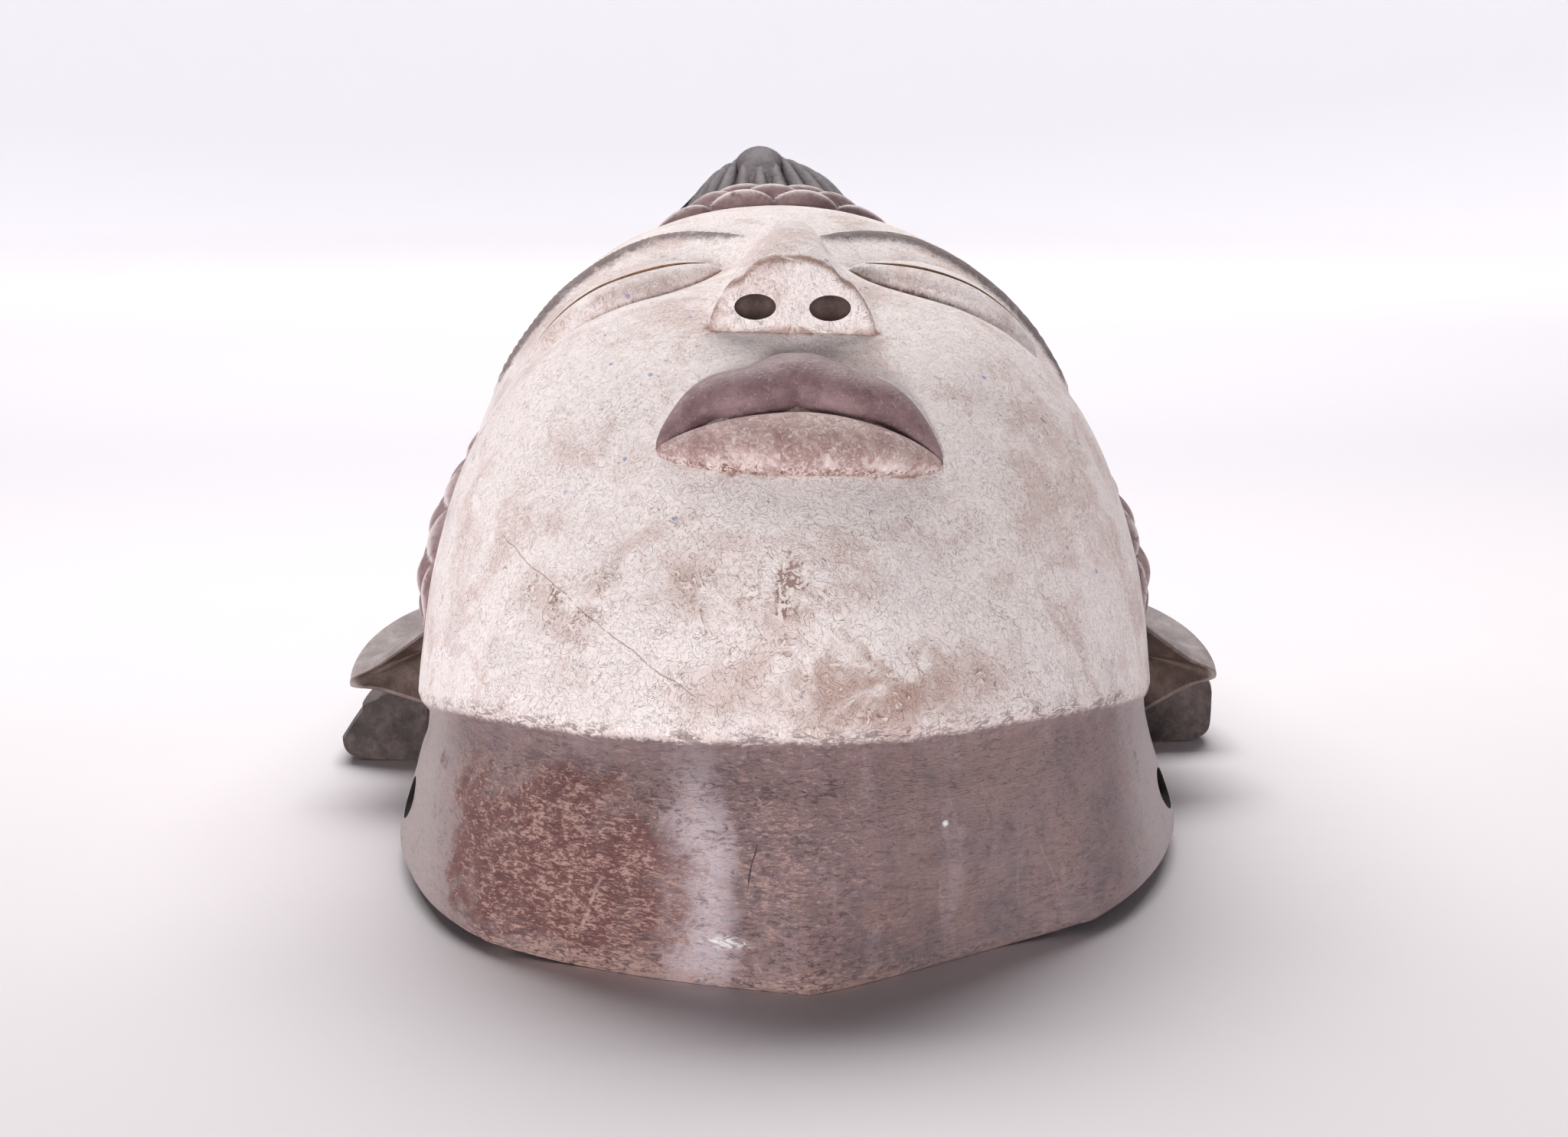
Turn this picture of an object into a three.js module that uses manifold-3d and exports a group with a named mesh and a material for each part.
// Punu mask, carved and hollowed from one block of wood, lying face up on its rear rim.
// Millimetres. X runs across the face, +Y from the chin to the crown, +Z the way the face looks.
// The origin is on the surface that the mask lies on, under the middle of its outline.
import * as THREE from "three";
import { ParametricGeometry } from "three/addons/geometries/ParametricGeometry.js";
import { mergeVertices } from "three/addons/utils/BufferGeometryUtils.js";
import Module from "manifold-3d";

const wasm = await Module();
wasm.setup();

// Driving dimensions of the whole mask
const LENGTH = 290;
const HALF_WIDTH = 80;
const LOBE_REACH = 105;
const WALL = 13;
const CHIN_END = -LENGTH / 2;
const CROWN_END = LENGTH / 2;

// The dome that carries everything: rings round a pole near the bridge of the nose, down to the rim
const POLE_Y = CHIN_END + 118;
const POLE_HEIGHT = 118;
const FACE_TILT = 0.1;
const CHIN_OUTLINE_LEFT = 2.55;
const CHIN_OUTLINE_RIGHT = 2.05;
const CROWN_OUTLINE = 2.3;
const CHIN_PROFILE = 1.75;
const SIDE_PROFILE = 2.75;
const CROWN_PROFILE = 2.8;
const CORNER_LIFT_LEFT = 3;
const CORNER_LIFT_RIGHT = 4;
const CORNER_FLARE_LEFT = 3.5;
const CORNER_FLARE_RIGHT = 5.5;
const KEEL_FLAT_LEFT = 4.6;
const KEEL_FLAT_RIGHT = 6.2;
const KEEL_FLAT_END = 31;
const COLLAR_TOP_Z = 30;
const DOME_LINES = 56;
const FACE_RINGS = 18;
const COLLAR_RINGS = 6;

// The coiffure: a crest over the crown with a roll along its top, fluted down to the rim
const CREST_X = -3;
const CREST_Y = CHIN_END + 252;
const CREST_RISE = 37.5;
const CREST_LENGTH = 34;
const CREST_LEFT_WIDTH = 66;
const CREST_RIGHT_WIDTH = 80;
const CREST_ROUND = 3;
const ROLL_HALF_WIDTH = 7;
const ROLL_RISE = 4;
const FLUTES = 32;
const HAIR_RISE = 1.5;
const FLUTE_DEPTH = 2.4;
const HAIR_SET_BACK = 7.5;
const HAIR_TOP_SET_BACK = 2;
const HAIR_AXIS_FOOT_Y = POLE_Y + 45;
const HAIR_RINGS = 9;

// The hairline, as the Y at which the hair starts for each height above the table
const HAIRLINE_TOP_Y = CHIN_END + 206;
const HAIRLINE_FOOT_Y = CHIN_END + 102;
const HAIRLINE_LOW_Z = 28;
const HAIRLINE_HIGH_Z = 112;
const BAND_HALF_WIDTH = 7;
const BAND_RISE = 5.5;
const BAND_FOOT_ANGLE = -0.17;
const BAND_LOCKS = 26;

// The face, on thirds between the hairline and the chin
const FACE_BOTTOM = CHIN_END + 13;
const THIRD = (HAIRLINE_TOP_Y - FACE_BOTTOM) / 3;
const BROW_Y = HAIRLINE_TOP_Y - THIRD;
const NOSE_BASE_Y = BROW_Y - THIRD;
const EYE_Y = BROW_Y - THIRD * 0.36;
const MOUTH_Y = NOSE_BASE_Y - THIRD * 0.34;
const CHIN_Y = NOSE_BASE_Y - THIRD * 0.72;
const EYE_X = 36;
const EYE_HALF_WIDTH = 22;
const LID_HALF_HEIGHT = 11;
const LID_RISE = 7;
const SLIT_WIDTH = 2.6;
const BROW_INNER_X = 8;
const BROW_OUTER_X = 66;
const BROW_ARCH = 14;
const NOSE_TIP_RISE = 17;
const NOSE_HALF_WIDTH = 17;
const BRIDGE_HALF_WIDTH = 6;
const MOUTH_HALF_WIDTH = 26;
const LIP_RISE = 6;

// The collar below the jaw, with a shallow cove under the edge of the face
const JAW_FRONT_Z = 43;
const JAW_SIDE_Z = 28;
const FACE_PROUD = 1;
const COVE_DEPTH = 1.6;
const COLLAR_FLARE = 2.5;

// The ears and the hair lobes behind and below them
const EAR_ROOT_X = 70;
const EAR_TIP_X = 98.5;
const EAR_FRONT_Y = CHIN_END + 107;
const EAR_BACK_Y = CHIN_END + 152;
const EAR_TIP_Z = 24.7;
const EAR_ROOT_LOW_LEFT_Z = 18;
const EAR_ROOT_LOW_RIGHT_Z = 12;
const EAR_ROOT_HIGH_Z = 45;
const EAR_EDGE = 1.8;
const EAR_DISH = 2.6;
const EAR_END_DEPTH = 3.5;
const LOBE_FRONT_LEFT_Y = CHIN_END + 130;
const LOBE_FRONT_RIGHT_Y = CHIN_END + 137;
const LOBE_BACK_Y = CHIN_END + 236;
const LOBE_HEIGHT = 17;

// Holes through the side walls for a lashing
const LASHING_Y = CHIN_END + 72;
const LASHING_Z = 12;
const LASHING_LENGTH = 13;
const LASHING_HEIGHT = 8;

// Smooth helpers: a clamped step from 0 at a to 1 at b, a bell, and straight interpolation
const ramp = (x, a, b) => {
  const t = Math.min(1, Math.max(0, (x - a) / (b - a)));
  return t * t * (3 - 2 * t);
};
const bell = (d, width) => Math.exp(-(d * d) / (width * width));
const mix = (a, b, t) => a + (b - a) * t;

// A closed surface made a solid, facing out
function solid(geometry) {
  geometry.deleteAttribute("normal");
  geometry.deleteAttribute("uv");
  const merged = mergeVertices(geometry, 1e-3);
  const corners = merged.index.array;
  const kept = [];
  for (let i = 0; i < corners.length; i += 3) {
    const [a, b, c] = corners.slice(i, i + 3);
    if (a !== b && b !== c && a !== c) kept.push(a, b, c);
  }
  const positions = merged.attributes.position.array;
  const made = new wasm.Manifold(
    new wasm.Mesh({
      numProp: 3,
      vertProperties: positions,
      triVerts: new Uint32Array(kept),
    }),
  );
  if (made.volume() > 0) return made;
  return new wasm.Manifold(
    new wasm.Mesh({
      numProp: 3,
      vertProperties: positions,
      triVerts: new Uint32Array(kept.reverse()),
    }),
  );
}

// A closed tube through sections: point(t, a) with t along it and a once round, both from 0 to 1
function tube(point, steps, around) {
  const middle = (t) => {
    const sum = new THREE.Vector3();
    for (let k = 0; k < around; k++) sum.add(point(t, k / around));
    return sum.divideScalar(around);
  };
  return solid(
    new ParametricGeometry(
      (u, v, target) => {
        const row = Math.round(v * (steps + 2));
        const turn = Math.round(u * around) % around;
        if (row === 0) target.copy(middle(0));
        else if (row === steps + 2) target.copy(middle(1));
        else target.copy(point((row - 1) / steps, turn / around));
      },
      around,
      steps + 2,
    ),
  );
}

// Distance from the pole to the mask's outline on the table, in the direction theta
function outline(theta) {
  const toChin = Math.sin(theta) < 0;
  const hair = HAIR_RISE + FLUTE_DEPTH / 2;
  const reach = toChin ? POLE_Y - CHIN_END : CROWN_END - hair - POLE_Y;
  const chinPower = Math.cos(theta) < 0 ? CHIN_OUTLINE_LEFT : CHIN_OUTLINE_RIGHT;
  const power = toChin ? chinPower : CROWN_OUTLINE;
  const across = Math.abs(Math.cos(theta) / HALF_WIDTH) ** power;
  const along = Math.abs(Math.sin(theta) / reach) ** power;
  return (across + along) ** (-1 / power);
}

// Degrees round the pole from the chin
const fromChin = (theta) => Math.abs(THREE.MathUtils.radToDeg(theta) + 90);

// How square the dome's profile is towards the chin, the sides and the crown
function profilePower(theta) {
  const s = Math.sin(theta);
  return mix(SIDE_PROFILE, s < 0 ? CHIN_PROFILE : CROWN_PROFILE, s * s);
}

// Height that the dome would have over a spot if its sides did not fall away
function topHeight(x, y) {
  const crest = bell(y - CREST_Y, CREST_LENGTH);
  const width = x < CREST_X ? CREST_LEFT_WIDTH : CREST_RIGHT_WIDTH;
  const aside = Math.hypot(x - CREST_X, CREST_ROUND) - CREST_ROUND;
  const across = Math.max(0, 1 - aside / width);
  return POLE_HEIGHT + FACE_TILT * (y - POLE_Y) + CREST_RISE * crest * across;
}

// The dome as a level function: 1 on its surface, less inside it
function level(p) {
  const theta = Math.atan2(p.y - POLE_Y, p.x);
  const power = profilePower(theta);
  const out = Math.hypot(p.x, p.y - POLE_Y) / outline(theta);
  return out ** power + Math.abs(p.z / topHeight(p.x, p.y)) ** power;
}

function normalAt(p) {
  const h = 0.2;
  const slope = (x, y, z) =>
    level(new THREE.Vector3(p.x + x, p.y + y, p.z + z)) -
    level(new THREE.Vector3(p.x - x, p.y - y, p.z - z));
  return new THREE.Vector3(slope(h, 0, 0), slope(0, h, 0), slope(0, 0, h)).normalize();
}

// A nearby point moved onto the dome, on the line through the foot of the pole
function drape(near) {
  const p = near.clone();
  const theta = Math.atan2(p.y - POLE_Y, p.x);
  for (let i = 0; i < 6; i++) {
    const k = level(p) ** (-1 / profilePower(theta));
    p.set(p.x * k, POLE_Y + (p.y - POLE_Y) * k, p.z * k);
  }
  return p;
}

// The dome over a spot of the plan
function over(x, y) {
  const theta = Math.atan2(y - POLE_Y, x);
  const power = profilePower(theta);
  const out = Math.min(1, Math.hypot(x, y - POLE_Y) / outline(theta));
  return new THREE.Vector3(x, y, topHeight(x, y) * (1 - out ** power) ** (1 / power));
}

// The dome by direction: psi runs from 0 at the pole to a right angle at the rim
function dome(theta, psi) {
  const power = profilePower(theta);
  const out = Math.sin(psi) ** (2 / power) * outline(theta);
  const x = out * Math.cos(theta);
  const y = POLE_Y + out * Math.sin(theta);
  const up = Math.max(0, Math.cos(psi)) ** (2 / power);
  return new THREE.Vector3(x, y, topHeight(x, y) * up);
}

// Millimetres behind the hairline: negative on the face, positive in the hair
function behindHairline(p) {
  const line = (z) => mix(HAIRLINE_FOOT_Y, HAIRLINE_TOP_Y, ramp(z, HAIRLINE_LOW_Z, HAIRLINE_HIGH_Z));
  return (p.y - line(p.z)) / Math.hypot(1, line(p.z + 0.5) - line(p.z - 0.5));
}

const jawHeight = (y) =>
  mix(JAW_FRONT_Z, JAW_SIDE_Z, ramp(y, CHIN_END + 15, CHIN_END + 105));

// The psi at which the dome passes the jaw
function jawAngle(theta) {
  let psi = 1;
  for (let i = 0; i < 12; i++) {
    const { x, y } = dome(theta, psi);
    psi = Math.acos((jawHeight(y) / topHeight(x, y)) ** (profilePower(theta) / 2));
  }
  return psi;
}

// The soft modelling of the face, in millimetres out of the dome
function faceForm(p) {
  const side = Math.abs(p.x);
  const socket = -6 * bell(Math.hypot((side - EYE_X) / 30, (p.y - EYE_Y) / 17), 1);
  const cheek = 3 * bell(Math.hypot((side - 42) / 24, (p.y - NOSE_BASE_Y - 4) / 22), 1);
  const forehead = 3 * bell(Math.hypot(p.x / 45, (p.y - BROW_Y - THIRD * 0.5) / 26), 1);
  const bridge = 4 * bell(p.x, 12) * bell(p.y - EYE_Y, 24);
  const muzzle = 7 * bell(Math.hypot(p.x / 34, (p.y - MOUTH_Y) / 24), 1);
  const chin = 6 * bell(Math.hypot(p.x / 27, (p.y - CHIN_Y) / 15), 1);
  return socket + cheek + forehead + bridge + muzzle + chin;
}

// The collar's lower edge is flat on both sides of the keel and flares at its two corners
const corner = (theta) => ramp(fromChin(theta), 20, 40) * (1 - ramp(fromChin(theta), 55, 85));

function edgeForm(p) {
  const theta = Math.atan2(p.y - POLE_Y, p.x);
  const left = p.x < 0;
  const turn = Math.min(1, fromChin(theta) / KEEL_FLAT_END);
  const flat = (left ? KEEL_FLAT_LEFT : KEEL_FLAT_RIGHT) * Math.sin(Math.PI * turn);
  const side = COLLAR_FLARE * ramp(Math.abs(p.x), 40, 80) * (1 - ramp(p.z, 0, 20));
  const flare = (left ? CORNER_FLARE_LEFT : CORNER_FLARE_RIGHT) * corner(theta);
  return side + (flare - flat) * (1 - ramp(p.z, 0, COLLAR_TOP_Z));
}

// How far the hair's ground lies inside the dome: little on top, more at the upper sides
function setBack(p) {
  const side = ramp(Math.abs(p.x), 12, 36) * ramp(p.z, 56, 84);
  return mix(HAIR_TOP_SET_BACK * ramp(p.z, 70, 95), HAIR_SET_BACK, side);
}

// The whole soft relief of the dome: the face, the step at the jaw, the collar and the hair ground
function relief(p) {
  const skin = 1 - ramp(behindHairline(p), -13, 2);
  const below = jawHeight(p.y) - p.z;
  const onFace = 1 - ramp(below, -0.5, 1.2);
  const cove = COVE_DEPTH * mix(1, 0.25, ramp(p.x, -5, 45)) * bell(below - 5, 4.5) * (1 - onFace);
  const carved = onFace * (FACE_PROUD + faceForm(p)) - cove + edgeForm(p);
  return skin * carved - (1 - skin) * setBack(p);
}

// How far the rim is clear of the table at the two corners of the collar
const rimLift = (theta) =>
  (Math.cos(theta) < 0 ? CORNER_LIFT_LEFT : CORNER_LIFT_RIGHT) * corner(theta);

function domeBody() {
  const rings = FACE_RINGS + COLLAR_RINGS;
  return solid(
    new ParametricGeometry(
      (u, v, target) => {
        const theta = (Math.round(u * DOME_LINES) % DOME_LINES) * ((2 * Math.PI) / DOME_LINES);
        const ring = Math.round(v * (rings + 1));
        const jaw = jawAngle(theta);
        const under = (ring - FACE_RINGS) / COLLAR_RINGS;
        const psi =
          ring <= FACE_RINGS
            ? (jaw * ring) / FACE_RINGS
            : mix(jaw, Math.PI / 2, mix(under, under * under, 0.5));
        if (ring > rings) {
          target.set(0, POLE_Y, 0);
          return;
        }
        target.copy(dome(theta, psi));
        target.addScaledVector(normalAt(target), relief(target));
        if (ring === rings) target.z = rimLift(theta);
      },
      DOME_LINES,
      rings + 1,
    ),
  );
}

// A raised ridge draped along a path, sunk a little into the wood
function ridge(path, { half, rise, steps, around, sink = 3 }) {
  return tube(
    (t, a) => {
      const foot = drape(path(t));
      const e = 1e-3;
      const along = drape(path(t + e)).sub(drape(path(t - e)));
      const across = along.cross(normalAt(foot)).normalize();
      const turn = 2 * Math.PI * a;
      foot.addScaledVector(across, half(t) * Math.cos(turn));
      const spot = drape(foot);
      const lift = Math.sin(turn);
      const height = lift > 0 ? rise(t, Math.cos(turn)) * lift ** 0.8 : sink * lift;
      return spot.addScaledVector(normalAt(spot), relief(spot) + height);
    },
    steps,
    around,
  );
}

// The path of the hairline over the forehead, by direction from the pole
function hairlinePoint(theta) {
  let near = 0;
  let far = Math.PI / 2;
  for (let i = 0; i < 40; i++) {
    const psi = (near + far) / 2;
    if (behindHairline(dome(theta, psi)) < 0) near = psi;
    else far = psi;
  }
  return dome(theta, near);
}

// The plaited band: two staggered rows of overlapping leaf-shaped locks
function plaitedBand() {
  const fine = 240;
  const points = [];
  for (let i = 0; i <= fine; i++) {
    points.push(hairlinePoint(mix(BAND_FOOT_ANGLE, Math.PI - BAND_FOOT_ANGLE, i / fine)));
  }
  const course = new THREE.CatmullRomCurve3(points);
  course.arcLengthDivisions = 600;
  const lock = (t, side) => {
    const row = side > 0 ? 0.5 : 0;
    const phase = t * BAND_LOCKS + row + 0.45 * Math.abs(side);
    const within = phase - Math.floor(phase);
    return 0.55 + 0.45 * Math.sin(Math.PI * within) ** 0.7;
  };
  const foot = (t) => ramp(Math.min(t, 1 - t), -0.02, 0.05);
  return ridge((t) => course.getPointAt(Math.min(1, Math.max(0, t))), {
    half: (t) => BAND_HALF_WIDTH * foot(t),
    rise: (t, side) => BAND_RISE * foot(t) * lock(t, side) * (1 - 0.25 * bell(side, 0.25)),
    steps: BAND_LOCKS * 3,
    around: 8,
  });
}

// A point of the dome seen from the foot of the hair's axis, which runs through the knob:
// spread is the angle away from the axis, turn the angle round it
const hairFoot = new THREE.Vector3(0, HAIR_AXIS_FOOT_Y, 0);
const knob = over(CREST_X, CREST_Y);
const hairAxis = knob.clone().sub(hairFoot).normalize();
const hairAhead = new THREE.Vector3(0, -1, 0).projectOnPlane(hairAxis).normalize();
const hairAside = hairAxis.clone().cross(hairAhead);

function seenFromAxis(spread, turn) {
  const way = hairAhead.clone().multiplyScalar(Math.cos(turn));
  way.addScaledVector(hairAside, Math.sin(turn)).multiplyScalar(Math.sin(spread));
  way.addScaledVector(hairAxis, Math.cos(spread));
  let near = 0;
  let far = 260;
  for (let i = 0; i < 30; i++) {
    const reach = (near + far) / 2;
    if (level(hairFoot.clone().addScaledVector(way, reach)) < 1) near = reach;
    else far = reach;
  }
  return hairFoot.clone().addScaledVector(way, near);
}

// The fluted hair: flutes run down from the knob of the crest to the hairline and the rim
function flutedHair() {
  const lines = FLUTES * 2;
  const edge = (turn) => {
    let near = 0.02;
    let far = 1.9;
    for (let i = 0; i < 24; i++) {
      const spread = (near + far) / 2;
      const p = seenFromAxis(spread, turn);
      if (p.z > 3 && behindHairline(p) > 2) near = spread;
      else far = spread;
    }
    return near;
  };
  const edges = Array.from({ length: lines }, (_, line) => edge((line / lines) * 2 * Math.PI));
  return solid(
    new ParametricGeometry(
      (u, v, target) => {
        const line = Math.round(u * lines) % lines;
        const ring = Math.round(v * (HAIR_RINGS + 1));
        if (ring > HAIR_RINGS) {
          target.set(0, CREST_Y - 20, 40);
          return;
        }
        const t = ring / HAIR_RINGS;
        const spot = seenFromAxis(edges[line] * t ** 0.9, (line / lines) * 2 * Math.PI);
        const flute = line % 2 ? -FLUTE_DEPTH / 2 : FLUTE_DEPTH / 2;
        const height = ring === HAIR_RINGS ? -2 : HAIR_RISE + flute * ramp(t, 0, 0.25);
        target.copy(spot.addScaledVector(normalAt(spot), relief(spot) + height));
      },
      lines,
      HAIR_RINGS + 1,
    ),
  );
}

function crestRoll() {
  const start = CHIN_END + 214;
  const swell = (t) => bell(t - 0.32, 0.14);
  const path = (t) => {
    const along = Math.min(1, Math.max(0, t)) ** 0.9;
    return over(CREST_X, mix(start, CROWN_END - 8, along));
  };
  return ridge(path, {
    half: (t) => ROLL_HALF_WIDTH * (0.75 + 0.3 * swell(t)),
    rise: (t) => ROLL_RISE * (0.8 + 0.4 * swell(t) - 0.5 * t),
    steps: 12,
    around: 8,
  });
}

// The brow ridges, the lids, the nose and the lips
const browLine = (x) => {
  const t = (x - BROW_INNER_X) / (BROW_OUTER_X - BROW_INNER_X);
  return BROW_Y - 6 + BROW_ARCH * Math.sin(Math.PI * Math.min(1, Math.max(0, t)) ** 0.85);
};

const brow = (side) =>
  ridge(
    (t) => {
      const x = mix(BROW_INNER_X, BROW_OUTER_X, t);
      return over(side * x, browLine(x));
    },
    {
      half: (t) => 0.4 + 2.6 * Math.sin(Math.PI * t) ** 0.5,
      rise: (t) => 2.2 * Math.sin(Math.PI * t) ** 0.5,
      steps: 10,
      around: 6,
      sink: 2,
    },
  );

const lid = (side) =>
  ridge((t) => over(side * (EYE_X + EYE_HALF_WIDTH * (2 * t - 1)), EYE_Y), {
    half: (t) => 0.3 + LID_HALF_HEIGHT * (1 - (2 * t - 1) ** 2),
    rise: (t) => LID_RISE * (1 - (2 * t - 1) ** 2) ** 0.7,
    steps: 10,
    around: 10,
  });

const slit = (side) =>
  tube(
    (t, a) => {
      const along = 2 * t - 1;
      const x = side * (EYE_X + EYE_HALF_WIDTH * 0.84 * along);
      const y = EYE_Y - 3.5 * (1 - along ** 2);
      const corner = Math.round(a * 4);
      const half = (SLIT_WIDTH / 2) * (0.25 + 0.75 * (1 - along ** 2));
      const across = corner === 0 || corner === 3 ? half : -half;
      return new THREE.Vector3(x, y + across, over(x, y).z + (corner < 2 ? 14 : -34));
    },
    8,
    4,
  );

function nose() {
  const rootY = EYE_Y + 16;
  return tube(
    (t, a) => {
      const y = mix(rootY, NOSE_BASE_Y, t);
      const half = mix(BRIDGE_HALF_WIDTH, NOSE_HALF_WIDTH, t ** 2.4);
      const rise = mix(2, NOSE_TIP_RISE, t ** 1.1) - 2 * ramp(t, 0.85, 1);
      const turn = 2 * Math.PI * a;
      const across = Math.cos(turn);
      const lift = Math.sin(turn);
      const narrow = lift > 0 ? 1 - 0.3 * lift * t : 1;
      const foot = over(half * Math.sign(across) * Math.abs(across) ** 0.8 * narrow, y);
      foot.z += relief(over(0, y)) + (lift > 0 ? rise * lift ** 0.7 : 6 * lift);
      return foot;
    },
    10,
    14,
  );
}

// One lip: upper is +1, lower is -1
const lip = (upper) =>
  ridge(
    (t) => {
      const m = Math.min(1, Math.max(-1, 2 * t - 1));
      const bow = upper > 0 ? 1.2 * Math.cos(3 * Math.PI * m) * (1 - m * m) : 0;
      const away = 6.2 * (1 - m * m) ** 0.8;
      return over(MOUTH_HALF_WIDTH * (2 * t - 1), MOUTH_Y - 3.5 * m * m + upper * away + bow);
    },
    {
      half: (t) => 0.3 + 6.3 * (1 - (2 * t - 1) ** 2) ** 0.75,
      rise: (t) => LIP_RISE * (1 - (2 * t - 1) ** 2) ** 0.5,
      steps: 14,
      around: 8,
    },
  );

// An ear: a leaf that stands out from the side and thins to its edge, dished on top and
// hollowed on the end that faces the chin
function ear(side) {
  const rows = 9;
  const hollowRows = 2;
  const lowRoot = side < 0 ? EAR_ROOT_LOW_LEFT_Z : EAR_ROOT_LOW_RIGHT_Z;
  const middle = new THREE.Vector2(EAR_ROOT_X + 11, (lowRoot + EAR_ROOT_HIGH_Z) / 2);
  return tube(
    (share, a) => {
      const row = share * rows;
      const inEnd = Math.max(0, 1 - row / hollowRows);
      const t = Math.max(0, (row - hollowRows) / (rows - hollowRows));
      const turn = 2 * Math.PI * a;
      const up = Math.sin(turn);
      const out = Math.max(0, Math.cos(turn)) ** 0.8;
      const reach = mix(EAR_ROOT_X, EAR_TIP_X, Math.sqrt(1 - 0.85 * t * t));
      const high = mix(EAR_ROOT_HIGH_Z, EAR_ROOT_HIGH_Z - 9, t);
      const low = mix(lowRoot, 21, t);
      const half = mix((high - low) / 2, EAR_EDGE, out);
      const centre = mix((high + low) / 2, EAR_TIP_Z + 8 * t ** 0.6, out);
      const dish = EAR_DISH * Math.sin(Math.PI * out) * ramp(up, 0, 0.6) * ramp(t, 0.05, 0.3);
      const place = new THREE.Vector2(
        mix(EAR_ROOT_X, reach, out),
        centre + half * Math.sign(up) * Math.abs(up) ** 1.2 - dish * (1 - ramp(t, 0.8, 1)),
      );
      if (inEnd > 0) place.lerp(middle, 0.9 * inEnd);
      const y = mix(EAR_FRONT_Y, EAR_BACK_Y, t) + 5 * out * (1 - t);
      return new THREE.Vector3(side * place.x, y + EAR_END_DEPTH * inEnd, place.y);
    },
    rows,
    14,
  );
}

// A hair lobe lying along the side, flat underneath and rounded on its outer edge. The left
// one is cut back in steps towards its top
function lobe(side) {
  const cutBack = (z) => 3 * ramp(z, 5, 10) + 2 * ramp(z, 10, 11.5) + 3 * ramp(z, 13.5, 15);
  return tube(
    (t, a) => {
      const y = mix(side < 0 ? LOBE_FRONT_LEFT_Y : LOBE_FRONT_RIGHT_Y, LOBE_BACK_Y, t);
      const share = Math.abs((y - POLE_Y) / (CROWN_END - POLE_Y)) ** CROWN_OUTLINE;
      const wall = HALF_WIDTH * (1 - share) ** (1 / CROWN_OUTLINE);
      const reach = mix(LOBE_REACH - HALF_WIDTH, -2, ramp(t, 0.05, 1));
      const turn = 2 * Math.PI * (a + 1 / 32);
      const square = (c) => (Math.sign(c) * Math.abs(c) ** 0.4 + 1) / 2;
      const out = square(Math.cos(turn));
      const z = mix(LOBE_HEIGHT, LOBE_HEIGHT + 4, t) * square(Math.sin(turn));
      const cut = side < 0 ? cutBack(z) * (1 - ramp(t, 0.3, 0.8)) : 0;
      return new THREE.Vector3(side * mix(wall - 12, wall + reach - cut, out), y, z);
    },
    6,
    16,
  );
}

// The hollow behind the face
function hollow() {
  const lines = 40;
  const rings = 8;
  return solid(
    new ParametricGeometry(
      (u, v, target) => {
        const theta = ((Math.round(u * lines) % lines) / lines) * 2 * Math.PI;
        const ring = Math.round(v * (rings + 1));
        if (ring > rings) {
          target.set(0, POLE_Y, -2);
          return;
        }
        const psi = (ring / rings) * (Math.PI / 2);
        const power = profilePower(theta);
        const out = Math.sin(psi) ** (2 / power) * (outline(theta) - WALL);
        const y = POLE_Y + out * Math.sin(theta);
        const top = POLE_HEIGHT - WALL - 1 + FACE_TILT * (y - POLE_Y);
        const up = Math.max(0, Math.cos(psi)) ** (2 / power);
        target.set(out * Math.cos(theta), y, ring === rings ? -2 : top * up);
      },
      lines,
      rings + 1,
    ),
  );
}

// A hole through one side wall for the lashing
function lashingHole(side) {
  return tube(
    (t, a) => {
      const turn = 2 * Math.PI * a;
      return new THREE.Vector3(
        side * mix(45, 110, t),
        LASHING_Y + (LASHING_LENGTH / 2) * Math.cos(turn),
        LASHING_Z + (LASHING_HEIGHT / 2) * Math.sin(turn),
      );
    },
    1,
    12,
  );
}

let carved = domeBody();
carved = carved.add(flutedHair()).add(crestRoll());
carved = carved.add(plaitedBand());
carved = carved.add(nose()).add(lip(1)).add(lip(-1));
for (const side of [-1, 1]) {
  carved = carved.add(brow(side)).add(lid(side)).add(ear(side)).add(lobe(side));
}
carved = carved.subtract(hollow());
for (const side of [-1, 1]) {
  carved = carved.subtract(slit(side)).subtract(lashingHole(side));
}
carved = carved.simplify(0.1);

function meshOf(name, shape, material) {
  const { vertProperties, triVerts } = shape.getMesh();
  const geometry = new THREE.BufferGeometry();
  geometry.setAttribute("position", new THREE.BufferAttribute(vertProperties, 3));
  geometry.setIndex(new THREE.BufferAttribute(triVerts, 1));
  geometry.computeVertexNormals();
  const mesh = new THREE.Mesh(geometry, material);
  mesh.name = name;
  return mesh;
}

const paintedWood = new THREE.MeshStandardMaterial({
  color: 0xc9b6ad,
  roughness: 0.75,
  metalness: 0,
});

const mask = new THREE.Group();
mask.add(meshOf("mask", carved, paintedWood));
export default mask;
